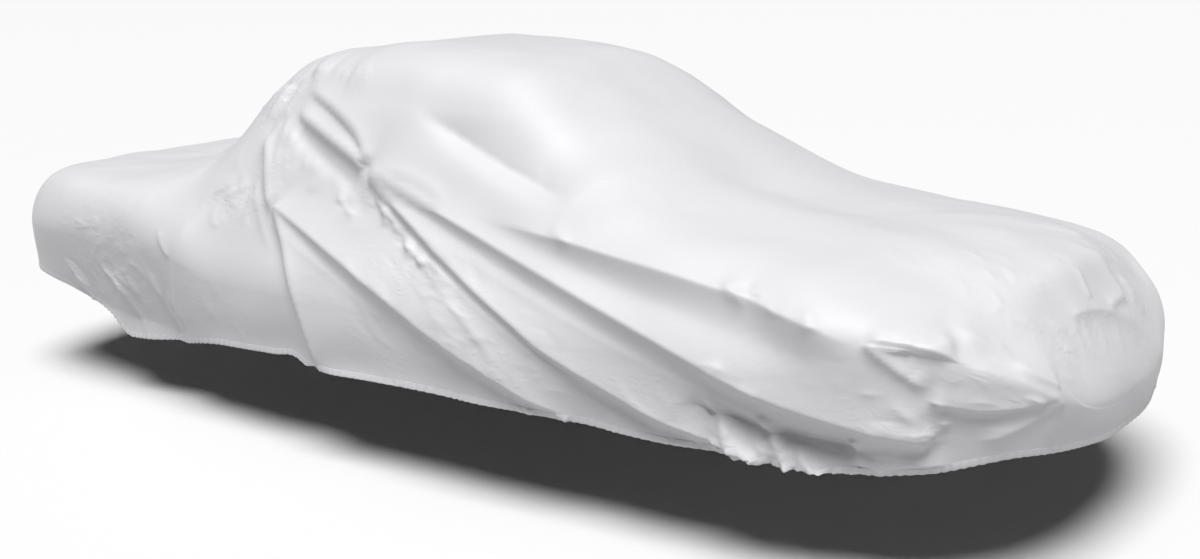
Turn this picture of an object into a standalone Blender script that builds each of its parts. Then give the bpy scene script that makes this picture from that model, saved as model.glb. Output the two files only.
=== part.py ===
"""Fitted cover of thin silver cloth for a low two-seat body, draped, creased and drawn in at its hem.

Metres, +X towards the nose, +Y away from the side with the long creases, +Z up.  The tables give
heights above the ground.  The finished cover is lowered so that its origin lies under the roof,
where it is carried.
"""

from collections import namedtuple

import bmesh
import bpy
import numpy as np

SHEET_THICKNESS = 0.002
REST_X = 0.90                   # the roof carries the cover here, on the centre line
REST_HEIGHT = 1.313             # underside of the cloth there, above the ground

# How finely the sheet is divided: rings from the spine down to the hem, columns around it.
ROWS_OVER_TOP = 3
ROWS_OVER_SHOULDER = 6
ROWS_DOWN_SIDE = 13
COLUMNS_ROUND_TAIL = 6
COLUMNS_ALONG_SIDE = 50
COLUMNS_ROUND_NOSE = 8
FOLD_SOFTNESS = 0.036           # every fold is at least this wide here
STEPS_ALONG_FOLD = 24
WELD = 0.00001

# One row for each profile from the spine down to the hem, round the near half of the cover.
# spine_x      where the profile leaves the centre line
# edge_x, out  the widest point of the profile, seen from above
# top_z        height of the centre line
# roof_q, z    how far out the top turns over, as a share of the way to the edge, and its height
# belt_q, z    the shoulder, in the same way
# side_z       height of the widest point
# hem_q, z     the hem, drawn in under the edge
Section = namedtuple(
    "Section", "spine_x edge_x out top_z roof_q roof_z belt_q belt_z side_z hem_q hem_z")
SECTIONS = tuple(Section(*row) for row in (
    # spine  edge_x  out    top    roof_q roof_z belt_q belt_z side_z hem_q hem_z
    (-0.45, -1.090, 0.000, 0.820, 0.60, 0.815, 0.91, 0.765, 0.580, 0.97, 0.340),   # tail, middle
    (-0.45, -1.070, 0.330, 0.820, 0.60, 0.820, 0.91, 0.770, 0.580, 0.98, 0.350),   # tail
    (-0.45, -0.965, 0.640, 0.818, 0.58, 0.825, 0.91, 0.770, 0.560, 0.99, 0.410),   # tail corner
    (-0.43, -0.640, 0.785, 0.820, 0.55, 0.830, 0.91, 0.760, 0.550, 0.98, 0.370),   # rear quarter
    (-0.32, -0.360, 0.800, 0.845, 0.48, 0.840, 0.87, 0.770, 0.540, 0.97, 0.295),   # hem rises
    (-0.24, -0.220, 0.805, 0.875, 0.46, 0.855, 0.85, 0.775, 0.530, 0.96, 0.220),   # hem lowest
    (0.05, 0.100, 0.810, 1.035, 0.43, 0.970, 0.80, 0.790, 0.520, 0.96, 0.252),     # rear slope
    (0.38, 0.420, 0.812, 1.255, 0.47, 1.200, 0.82, 0.850, 0.520, 0.96, 0.284),     # back of roof
    (0.66, 0.700, 0.814, 1.300, 0.53, 1.232, 0.83, 0.846, 0.520, 0.96, 0.292),     # hem lifts a little
    (0.90, 0.930, 0.815, 1.315, 0.56, 1.250, 0.84, 0.840, 0.520, 0.96, 0.268),     # roof
    (1.40, 1.430, 0.815, 1.280, 0.56, 1.205, 0.85, 0.820, 0.520, 0.96, 0.274),     # front of roof
    (1.80, 1.880, 0.812, 1.090, 0.56, 1.005, 0.86, 0.785, 0.520, 0.96, 0.276),     # front slope
    (2.18, 2.300, 0.808, 0.885, 0.55, 0.825, 0.86, 0.740, 0.520, 0.96, 0.268),     # foot of slope
    (2.34, 2.520, 0.803, 0.852, 0.55, 0.800, 0.86, 0.718, 0.525, 0.96, 0.284),     # front quarter
    (2.47, 2.760, 0.790, 0.836, 0.55, 0.782, 0.86, 0.702, 0.528, 0.96, 0.276),     # hem dips
    (2.55, 3.000, 0.745, 0.825, 0.58, 0.768, 0.87, 0.675, 0.520, 0.96, 0.303),     # front wing
    (2.58, 3.185, 0.575, 0.822, 0.62, 0.762, 0.85, 0.652, 0.460, 0.97, 0.358),     # nose corner
    (2.58, 3.280, 0.300, 0.822, 0.64, 0.766, 0.85, 0.656, 0.425, 0.99, 0.322),     # nose
    (2.58, 3.305, 0.000, 0.822, 0.64, 0.770, 0.85, 0.662, 0.415, 0.99, 0.305),     # nose, middle
))
MIRRORED = Section(1, 1, -1, 1, 1, 1, 1, 1, 1, 1, 1)   # signs of a section's twin across the middle
PROFILE_STOPS = (0.0, 0.30, 0.56, 0.76, 1.0)           # spine, roof, belt, side and hem of a profile
NOSE_SLOPE = -0.06              # fall of the centre line where the nose profiles fan out
HEM_FLARE = 0.6                 # how much of the inward run of the hem is kept at its very edge
TAIL_CORNER = 2                 # rows of SECTIONS where the tail and the nose begin
NOSE_CORNER = 16

# One row for each fold.  A view gives the two measures that place its crest line:
# near and far, x and height on that side; top, x and y; nose and tail, y and height.
# a0 b0, am bm, a1 b1   start, middle and end of the crest line
# rise                  how proud the crest stands
# crest                 width of the slow slope on the left of the line's way
# drop, dip, recover    width of the steep side, its undercut as a share of rise, and its way back
# fade_in, fade_out     share of the line over which the fold grows and dies away
Fold = namedtuple(
    "Fold", "view a0 b0 am bm a1 b1 rise crest drop dip recover fade_in fade_out")
FOLDS = tuple(Fold(*row) for row in (
    # view    a0     b0    am     bm    a1     b1     rise   crest  drop   dip  recover in   out
    ("near", 1.35, 0.855, 2.12, 0.745, 2.87, 0.630, 0.024, 0.120, 0.045, 0.5, 0.120, 0.30, 0.08),
    ("near", 1.00, 0.950, 1.90, 0.640, 2.95, 0.375, 0.032, 0.095, 0.040, 0.5, 0.120, 0.10, 0.12),
    ("near", 1.00, 0.940, 1.66, 0.540, 2.46, 0.275, 0.028, 0.070, 0.030, 0.6, 0.070, 0.12, 0.05),
    ("near", 0.60, 0.800, 1.19, 0.570, 1.97, 0.280, 0.028, 0.100, 0.035, 0.6, 0.130, 0.10, 0.25),
    ("near", 0.87, 0.270, 0.80, 0.530, 0.60, 0.800, 0.020, 0.060, 0.025, 0.6, 0.060, 0.05, 0.15),
    ("near", 0.46, 1.030, 0.53, 0.900, 0.60, 0.780, 0.016, 0.090, 0.030, 0.5, 0.060, 0.30, 0.10),
    ("near", 0.62, 1.210, 0.86, 1.080, 1.00, 0.950, 0.020, 0.070, 0.030, 0.6, 0.060, 0.20, 0.15),
    ("near", 0.55, 1.120, 0.77, 1.030, 1.02, 0.930, 0.018, 0.050, 0.030, 0.7, 0.080, 0.25, 0.20),
    ("near", 0.97, 1.230, 1.40, 1.060, 1.84, 0.900, -0.014, 0.110, 0.100, 0.0, 0.100, 0.30, 0.30),
    ("near", 2.86, 0.640, 2.98, 0.630, 3.10, 0.580, 0.016, 0.050, 0.030, 0.8, 0.080, 0.15, 0.35),
    ("near", 2.90, 0.735, 3.07, 0.635, 3.25, 0.510, 0.014, 0.070, 0.050, 0.3, 0.080, 0.30, 0.10),
    ("near", 3.02, 0.530, 3.12, 0.500, 3.25, 0.505, 0.014, 0.050, 0.030, 0.9, 0.080, 0.20, 0.15),
    ("near", -0.90, 0.660, -0.50, 0.540, -0.18, 0.260, 0.012, 0.080, 0.050, 0.6, 0.090, 0.30, 0.10),
    ("far", 0.92, 0.980, 1.62, 0.660, 2.50, 0.300, 0.028, 0.110, 0.055, 0.5, 0.130, 0.15, 0.15),
    ("far", 0.50, 0.960, 0.98, 0.640, 1.62, 0.290, 0.024, 0.100, 0.055, 0.5, 0.120, 0.15, 0.15),
    ("far", 1.45, 0.840, 2.15, 0.720, 2.90, 0.560, 0.022, 0.110, 0.050, 0.5, 0.120, 0.25, 0.20),
    ("far", 0.30, 0.930, 0.36, 0.620, 0.30, 0.270, 0.018, 0.080, 0.035, 0.5, 0.080, 0.20, 0.10),
    ("far", 2.35, 0.590, 2.75, 0.460, 3.14, 0.390, 0.018, 0.070, 0.040, 0.6, 0.090, 0.25, 0.20),
    ("far", -0.88, 0.640, -0.55, 0.520, -0.26, 0.290, 0.014, 0.080, 0.045, 0.6, 0.090, 0.30, 0.12),
    ("top", 2.05, -0.360, 2.50, -0.400, 3.00, -0.300, 0.010, 0.140, 0.120, 0.0, 0.120, 0.35, 0.40),
    ("top", 2.10, 0.380, 2.55, 0.350, 3.02, 0.330, 0.010, 0.130, 0.120, 0.0, 0.120, 0.35, 0.40),
    ("top", 0.34, -0.420, 0.20, 0.020, 0.36, 0.430, -0.012, 0.090, 0.080, 0.0, 0.080, 0.25, 0.25),
    ("tail", -0.50, 0.690, -0.05, 0.570, 0.46, 0.680, 0.012, 0.090, 0.060, 0.5, 0.120, 0.30, 0.30),
    ("nose", -0.42, 0.560, 0.00, 0.600, 0.38, 0.540, 0.008, 0.080, 0.060, 0.5, 0.100, 0.30, 0.30),
))
# Where each view of the folds begins and is in full: the measure it goes by, and its two ends.
SIDE_BEGINS, SIDE_FULL = 0.05, 0.30         # distance from the centre line
NOSE_BEGINS, NOSE_FULL = 2.95, 3.12         # x
TAIL_BEGINS, TAIL_FULL = -0.75, -0.92       # x
TOP_BEGINS, TOP_FULL = 0.35, 0.70           # upward share of the outward direction


def smooth_step(low, high, value):
    """0 below low, 1 above high and a smooth S between them; high may be the smaller."""
    t = np.clip((value - low) / (high - low), 0.0, 1.0)
    return t * t * (3.0 - 2.0 * t)


def mean_slopes(stops, values):
    """Slope at each stop: the mean of its two spans' slopes, the shorter span counting more."""
    span = np.diff(stops)[:, None]
    slope = np.diff(values, axis=0) / span
    inner = (slope[:-1] * span[1:] + slope[1:] * span[:-1]) / (span[1:] + span[:-1])
    return np.concatenate([slope[:1], inner, slope[-1:]])


def steady_slopes(stops, values):
    """Slope at each stop of a curve that never swings past the values it joins."""
    span = np.diff(stops)[:, None]
    slope = np.diff(values, axis=0) / span
    before, after = slope[:-1], slope[1:]
    same_way = before * after > 0.0
    weight_before = span[:-1] + 2.0 * span[1:]
    weight_after = 2.0 * span[:-1] + span[1:]
    lower = weight_before * after + weight_after * before
    lower = np.where(same_way, lower, 1.0)
    inner = np.where(same_way, (weight_before + weight_after) * before * after / lower, 0.0)
    return np.concatenate([slope[:1], inner, slope[-1:]])


def read_cubic(stops, values, slopes, at):
    """Values of the cubic that has the given values and slopes at its stops."""
    k = np.clip(np.searchsorted(stops, at, side="right") - 1, 0, len(stops) - 2)
    span = (stops[k + 1] - stops[k]).reshape((-1,) + (1,) * (values.ndim - 1))
    t = (at - stops[k]).reshape(span.shape) / span
    ease = t * t * (3.0 - 2.0 * t)
    return (values[k] * (1.0 - ease) + values[k + 1] * ease
            + span * t * (1.0 - t) * ((1.0 - t) * slopes[k] - t * slopes[k + 1]))


def section_stops():
    """Distance of each section round the widest line, from the middle of the tail."""
    steps = [np.hypot(b.edge_x - a.edge_x, b.out - a.out) for a, b in zip(SECTIONS, SECTIONS[1:])]
    return np.concatenate([[0.0], np.cumsum(steps)])


def sections_at(distance):
    """A Section of arrays: each column of SECTIONS read smoothly at distances round the edge."""
    stops = section_stops()
    rows = np.array(SECTIONS, dtype=float)
    twins = rows * np.array(MIRRORED, dtype=float)
    rows = np.concatenate([twins[2:0:-1], rows, twins[-2:-4:-1]])
    ends = 2.0 * stops[-1] - stops[-2:-4:-1]
    stops = np.concatenate([-stops[2:0:-1], stops, ends])
    slopes = steady_slopes(stops, rows)
    plan = [Section._fields.index("edge_x"), Section._fields.index("out")]
    slopes[:, plan] = mean_slopes(stops, rows[:, plan])
    return Section(*read_cubic(stops, rows, slopes, distance).T)


def smooth_form(distance, down):
    """Points of the cover without its folds, one profile for each distance round the edge.

    A profile runs straight out from the spine in plan, a share q of the way to the edge, while its
    height follows roof, belt, side and hem.  Both are cubics of `down`, 0 at the spine, 1 at the hem.
    """
    at = sections_at(distance)
    stops = np.array(PROFILE_STOPS)
    spine, edge = np.zeros_like(at.out), np.ones_like(at.out)
    share = np.stack([spine, at.roof_q, at.belt_q, edge, at.hem_q])
    height = np.stack([at.top_z, at.roof_z, at.belt_z, at.side_z, at.hem_z])
    share_slope = mean_slopes(stops, share)
    height_slope = mean_slopes(stops, height)
    share_slope[3] = 0.0
    share_slope[-1] *= HEM_FLARE
    reach = at.edge_x - at.spine_x
    height_slope[0] = NOSE_SLOPE * np.clip(reach, 0.0, None) * share_slope[0]
    q = read_cubic(stops, share, share_slope, down).T
    z = read_cubic(stops, height, height_slope, down).T
    x = at.spine_x[:, None] + reach[:, None] * q
    y = -at.out[:, None] * q
    return np.stack([x, y, z], axis=-1)


def fold_height(fold, a, b):
    """Height of one fold at places (a, b) of its view.

    With d the distance left of the crest line, the height is rise x exp(-(d/crest)^2) on the left,
    and rise x ((1 + dip) exp(-(d/drop)^2) - dip exp(-(d/recover)^2)) on the right.
    """
    t = np.linspace(0.0, 1.0, STEPS_ALONG_FOLD + 1)
    bend_a = 2.0 * fold.am - (fold.a0 + fold.a1) / 2.0
    bend_b = 2.0 * fold.bm - (fold.b0 + fold.b1) / 2.0
    line_a = (1 - t) ** 2 * fold.a0 + 2 * t * (1 - t) * bend_a + t * t * fold.a1
    line_b = (1 - t) ** 2 * fold.b0 + 2 * t * (1 - t) * bend_b + t * t * fold.b1
    step_a, step_b = np.diff(line_a), np.diff(line_b)
    off_a = a.reshape(-1, 1) - line_a[:-1]
    off_b = b.reshape(-1, 1) - line_b[:-1]
    along = np.clip((off_a * step_a + off_b * step_b) / (step_a ** 2 + step_b ** 2), 0.0, 1.0)
    gap = np.hypot(off_a - along * step_a, off_b - along * step_b)
    nearest = gap.argmin(axis=1)
    pick = np.arange(len(nearest)), nearest
    left = step_a[nearest] * off_b[pick] - step_b[nearest] * off_a[pick] > 0.0
    share = (nearest + along[pick]) / STEPS_ALONG_FOLD
    distance = gap[pick]
    widths = (fold.crest, fold.drop, fold.recover)
    slow, drop, recover = (np.exp(-(distance / np.hypot(w, FOLD_SOFTNESS)) ** 2) for w in widths)
    steep = (1.0 + fold.dip) * drop - fold.dip * recover
    fade = smooth_step(0.0, fold.fade_in, share) * smooth_step(1.0, 1.0 - fold.fade_out, share)
    return (fold.rise * fade * np.where(left, slow, steep)).reshape(a.shape)


def outward(form):
    """Unit directions out of a ring of profiles: the way down crossed with the way round."""
    down = np.gradient(form, axis=1)
    around = np.roll(form, -1, axis=0) - np.roll(form, 1, axis=0)
    normal = np.cross(down, around)
    normal[:, 0] = (0.0, 0.0, 1.0)
    return normal / np.linalg.norm(normal, axis=-1, keepdims=True)


def folded(form):
    """The smooth form moved out by the heights of all folds, each shown only in its own view."""
    x, y, z = np.moveaxis(form, -1, 0)
    normal = outward(form)
    views = {
        "near": (x, z, smooth_step(SIDE_BEGINS, SIDE_FULL, -y)),
        "far": (x, z, smooth_step(SIDE_BEGINS, SIDE_FULL, y)),
        "top": (x, y, smooth_step(TOP_BEGINS, TOP_FULL, normal[..., 2])),
        "nose": (y, z, smooth_step(NOSE_BEGINS, NOSE_FULL, x)),
        "tail": (y, z, smooth_step(TAIL_BEGINS, TAIL_FULL, x)),
    }
    height = np.zeros(x.shape)
    for fold in FOLDS:
        a, b, shown = views[fold.view]
        height += shown * fold_height(fold, a, b)
    return form + height[..., None] * normal


def spread(stops, counts):
    """Even steps from each stop to the next, as many as counts says, with the last stop too."""
    parts = [np.linspace(a, b, n, endpoint=False) for a, b, n in zip(stops, stops[1:], counts)]
    return np.concatenate(parts + [stops[-1:]])


def cover_points():
    """Ring of profiles round the whole cover: the near half, then the far half as its twin."""
    stops = section_stops()
    places = [0.0, stops[TAIL_CORNER], stops[NOSE_CORNER], stops[-1]]
    distance = spread(places, [COLUMNS_ROUND_TAIL, COLUMNS_ALONG_SIDE, COLUMNS_ROUND_NOSE])
    down = spread([PROFILE_STOPS[0], PROFILE_STOPS[1], PROFILE_STOPS[2], PROFILE_STOPS[-1]],
                  [ROWS_OVER_TOP, ROWS_OVER_SHOULDER, ROWS_DOWN_SIDE])
    near = smooth_form(distance, down)
    far = near[-2:0:-1] * np.array([1.0, -1.0, 1.0])
    return folded(np.concatenate([near, far]))


def sheet_mesh(name, points):
    """Mesh of four-sided faces over a closed ring of profiles, welded along the spine."""
    columns, rows = points.shape[:2]
    mesh = bpy.data.meshes.new(name)
    i, j = np.meshgrid(np.arange(columns), np.arange(rows - 1), indexing="ij")
    here, beside = i * rows + j, (i + 1) % columns * rows + j
    faces = np.stack([here, here + 1, beside + 1, beside], axis=-1).reshape(-1, 4)
    mesh.from_pydata(points.reshape(-1, 3).tolist(), [], faces.tolist())
    grid = bmesh.new()
    grid.from_mesh(mesh)
    bmesh.ops.remove_doubles(grid, verts=grid.verts, dist=WELD)
    grid.to_mesh(mesh)
    grid.free()
    mesh.shade_smooth()
    return mesh


def silver_cloth():
    """Thin silver-coated cloth with a soft sheen."""
    material = bpy.data.materials.new("silver_cloth")
    material.use_nodes = True
    shader = material.node_tree.nodes["Principled BSDF"]
    shader.inputs["Base Color"].default_value = (0.78, 0.78, 0.80, 1.0)
    shader.inputs["Metallic"].default_value = 0.0
    shader.inputs["Roughness"].default_value = 0.45
    return material


def build_cover(collection, rest):
    """The cover: one thin sheet over the whole body, open underneath."""
    mesh = sheet_mesh("cover", cover_points())
    mesh.materials.append(silver_cloth())
    cover = bpy.data.objects.new("cover", mesh)
    collection.objects.link(cover)
    cover.parent = rest
    wall = cover.modifiers.new("wall", "SOLIDIFY")
    wall.thickness = SHEET_THICKNESS
    wall.offset = -1.0
    return cover


def main():
    for thing in list(bpy.data.objects):
        bpy.data.objects.remove(thing, do_unlink=True)
    collection = bpy.data.collections.new("car_cover")
    bpy.context.scene.collection.children.link(collection)
    rest = bpy.data.objects.new("roof_rest", None)
    rest.location = (-REST_X, 0.0, -REST_HEIGHT)
    collection.objects.link(rest)
    build_cover(collection, rest)


main()
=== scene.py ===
"""Draped silver car cover: the creased cloth, its gathered hem and a plain studio.

Metres.  The shape tables keep +X towards the nose, +Y away from the side with the long creases and
heights above the ground.  Every mesh is then lowered by REST, so the frame's origin lies under the roof.
"""

from collections import namedtuple

import bpy
import numpy as np
from mathutils import Matrix, Vector


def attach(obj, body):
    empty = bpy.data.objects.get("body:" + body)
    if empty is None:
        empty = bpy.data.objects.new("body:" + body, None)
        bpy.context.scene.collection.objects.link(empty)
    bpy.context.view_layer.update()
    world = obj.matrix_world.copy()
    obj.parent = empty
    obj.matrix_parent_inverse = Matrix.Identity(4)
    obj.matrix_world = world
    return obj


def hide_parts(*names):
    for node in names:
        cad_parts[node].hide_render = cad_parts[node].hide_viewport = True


bl_info = {
    "name": "Draped Car Cover",
    "version": (1, 0, 0),
    "blender": (4, 5, 0),
    "location": "3D View > Sidebar > Car Cover",
    "description": "Draped, creased cover cloth with a gathered elastic hem",
    "category": "Object",
}

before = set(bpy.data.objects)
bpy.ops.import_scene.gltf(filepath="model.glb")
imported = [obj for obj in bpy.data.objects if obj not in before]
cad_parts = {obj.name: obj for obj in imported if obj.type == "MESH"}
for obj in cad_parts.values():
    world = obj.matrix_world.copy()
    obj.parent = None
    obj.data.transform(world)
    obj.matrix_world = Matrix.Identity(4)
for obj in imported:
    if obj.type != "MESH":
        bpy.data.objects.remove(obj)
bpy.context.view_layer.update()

REST = np.array([0.90, 0.0, 1.313])      # the frame's origin, in the tables' measures


# ---------------------------------------------------------------- form of the cover

# One row for each profile from the spine down to the hem, round the near half of the cover.
# spine_x      where the profile leaves the centre line
# edge_x, out  the widest point of the profile, seen from above
# top_z        height of the centre line
# roof_q, z    how far out the top turns over, as a share of the way to the edge, and its height
# belt_q, z    the shoulder, in the same way
# side_z       height of the widest point
# hem_q, z     the hem, drawn in under the edge
Section = namedtuple(
    "Section", "spine_x edge_x out top_z roof_q roof_z belt_q belt_z side_z hem_q hem_z")
SECTIONS = tuple(Section(*row) for row in (
    # spine  edge_x  out    top    roof_q roof_z belt_q belt_z side_z hem_q hem_z
    (-0.45, -1.090, 0.000, 0.820, 0.60, 0.815, 0.91, 0.765, 0.580, 0.97, 0.340),   # tail, middle
    (-0.45, -1.070, 0.330, 0.820, 0.60, 0.820, 0.91, 0.770, 0.590, 0.98, 0.350),   # tail
    (-0.45, -0.965, 0.640, 0.818, 0.58, 0.825, 0.90, 0.776, 0.600, 0.99, 0.410),   # tail corner
    (-0.43, -0.640, 0.785, 0.820, 0.55, 0.830, 0.90, 0.780, 0.600, 0.98, 0.370),   # rear quarter
    (-0.32, -0.360, 0.800, 0.845, 0.48, 0.840, 0.90, 0.782, 0.600, 0.97, 0.295),   # hem rises
    (-0.24, -0.220, 0.805, 0.875, 0.46, 0.855, 0.90, 0.782, 0.600, 0.96, 0.220),   # hem lowest
    (0.05, 0.100, 0.810, 1.035, 0.43, 0.970, 0.85, 0.790, 0.600, 0.96, 0.252),     # rear slope
    (0.38, 0.420, 0.812, 1.255, 0.47, 1.200, 0.82, 0.850, 0.520, 0.96, 0.300),     # back of roof
    (0.66, 0.700, 0.814, 1.300, 0.53, 1.232, 0.83, 0.846, 0.520, 0.96, 0.314),     # hem lifts a little
    (0.90, 0.930, 0.815, 1.315, 0.56, 1.250, 0.84, 0.840, 0.520, 0.96, 0.308),     # roof
    (1.40, 1.430, 0.815, 1.280, 0.56, 1.205, 0.85, 0.820, 0.520, 0.96, 0.316),     # front of roof
    (1.80, 1.880, 0.812, 1.090, 0.56, 1.005, 0.86, 0.785, 0.520, 0.96, 0.312),     # front slope
    (2.18, 2.300, 0.808, 0.885, 0.55, 0.825, 0.86, 0.740, 0.520, 0.96, 0.300),     # foot of slope
    (2.34, 2.520, 0.803, 0.852, 0.55, 0.800, 0.86, 0.718, 0.525, 0.96, 0.306),     # front quarter
    (2.47, 2.760, 0.790, 0.836, 0.55, 0.782, 0.92, 0.699, 0.570, 0.96, 0.298),     # hem dips
    (2.55, 3.000, 0.745, 0.825, 0.58, 0.764, 0.95, 0.672, 0.600, 0.96, 0.318),     # before the corner
    (2.58, 3.185, 0.575, 0.822, 0.62, 0.760, 0.90, 0.602, 0.530, 0.97, 0.350),     # nose corner
    (2.58, 3.280, 0.300, 0.822, 0.64, 0.764, 0.82, 0.656, 0.430, 0.98, 0.322),     # nose
    (2.58, 3.305, 0.000, 0.822, 0.64, 0.768, 0.82, 0.662, 0.415, 0.98, 0.305),     # nose, middle
))
MIRRORED = Section(1, 1, -1, 1, 1, 1, 1, 1, 1, 1, 1)   # signs of a section's twin across the middle
PROFILE_STOPS = (0.0, 0.30, 0.56, 0.76, 1.0)           # spine, roof, belt, side and hem of a profile
ROOF, BELT, SIDE = 1, 2, 3      # which of these stops is which
NOSE_SLOPE = -0.06              # slope of the top as it leaves the spine towards the nose
HEM_FLARE = 0.6                 # share of a profile's inward lean that is left at its hem
TAIL_CORNER = 2                 # the sections at the corners, seen from above
NOSE_CORNER = 16

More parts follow.
